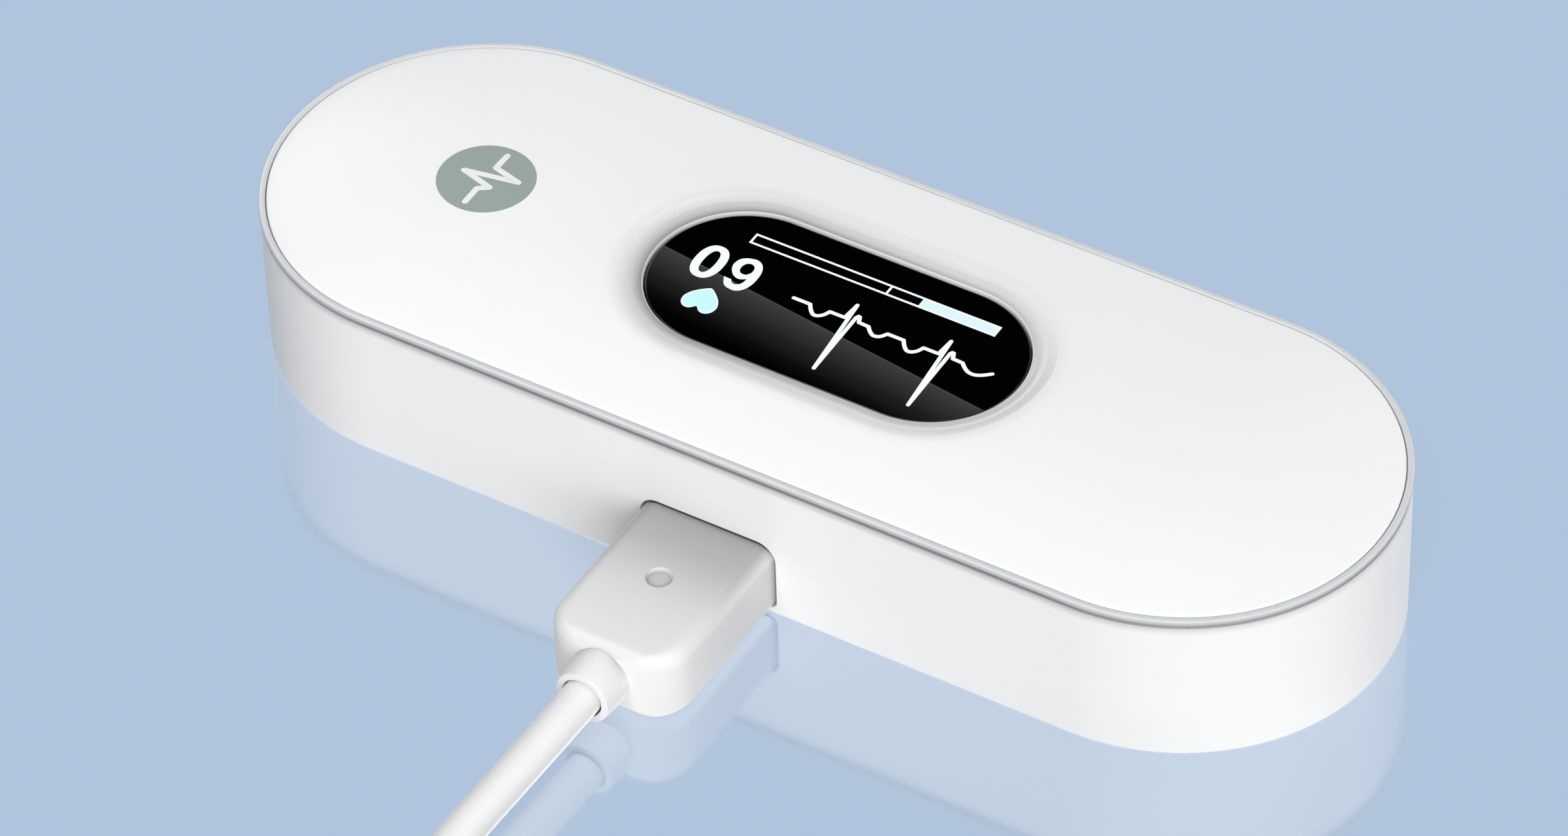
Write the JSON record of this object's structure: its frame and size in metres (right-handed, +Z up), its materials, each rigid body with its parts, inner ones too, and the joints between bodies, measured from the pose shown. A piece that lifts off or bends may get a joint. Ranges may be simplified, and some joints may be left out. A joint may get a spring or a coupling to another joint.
{
  "type": "ecg monitor",
  "caption": "Pill shaped handheld ECG monitor with a round-ended display window, finger electrodes in its back, a side key, and a charging lead plugged into its side.",
  "frame": {"origin": "middle of the back face that the monitor lies on", "axes": "+X along the body's length, -Y out of the side with the charging port, +Z up out of the display"},
  "size_m": [0.1274, 0.1299, 0.0164],
  "materials": {
    "white_shell": "satin moulded",
    "pearl_trim": "pearl",
    "window_glass": "polished, smoked",
    "display": "polished",
    "black_plastic": "moulded",
    "tape": "foam tape",
    "flex": "film",
    "board": "solder mask",
    "steel": "brushed",
    "gold": "plated",
    "cell_wrap": "laminated foil",
    "red_lead": "insulation",
    "black_lead": "insulation",
    "seal": "matt",
    "cord_white": "soft moulded",
    "tie": "matt"
  },
  "bodies": {
    "monitor": {"housing": "white_shell", "trim_ring": "pearl_trim", "top_cover": "white_shell", "window_lens": "window_glass", "lens_tape": "tape", "display_panel": "display", "display_tray": "black_plastic", "display_flex": "flex", "main_board": "board", "board_screw_1": "steel", "board_screw_2": "steel", "board_screw_3": "steel", "board_screw_4": "steel", "controller_chip": "black_plastic", "heart_signal_chip": "black_plastic", "radio_can": "steel", "switch_body": "black_plastic", "socket_shell": "steel", "socket_tongue": "black_plastic", "battery_cell": "cell_wrap", "battery_tape": "tape", "battery_connector": "black_plastic", "battery_lead_red": "red_lead", "battery_lead_black": "black_lead", "electrode_left": "steel", "electrode_right": "steel", "electrode_seal_left": "seal", "electrode_seal_right": "seal", "contact_spring_left": "gold", "contact_spring_right": "gold"},
    "key": {"power_key": "white_shell", "switch_plunger": "black_plastic"},
    "plug": {"plug_body": "cord_white", "plug_shell": "steel", "plug_collar": "cord_white", "cord": "cord_white", "cord_coil": "cord_white", "cord_tail": "cord_white", "cord_tie": "tie", "usb_body": "cord_white", "usb_shell": "steel", "usb_insert": "black_plastic", "usb_collar": "cord_white"}
  },
  "joints": [
    {"name": "key_press", "type": "slide", "parent": "monitor", "child": "key", "axis": [0, -1, 0], "range_m": [0, 0.0004], "stiffness_N_per_m": 2000, "springref_m": -0.0002},
    {"name": "plug_pull", "type": "slide", "parent": "monitor", "child": "plug", "axis": [0, -1, 0], "range_m": [0, 0.012]}
  ]
}
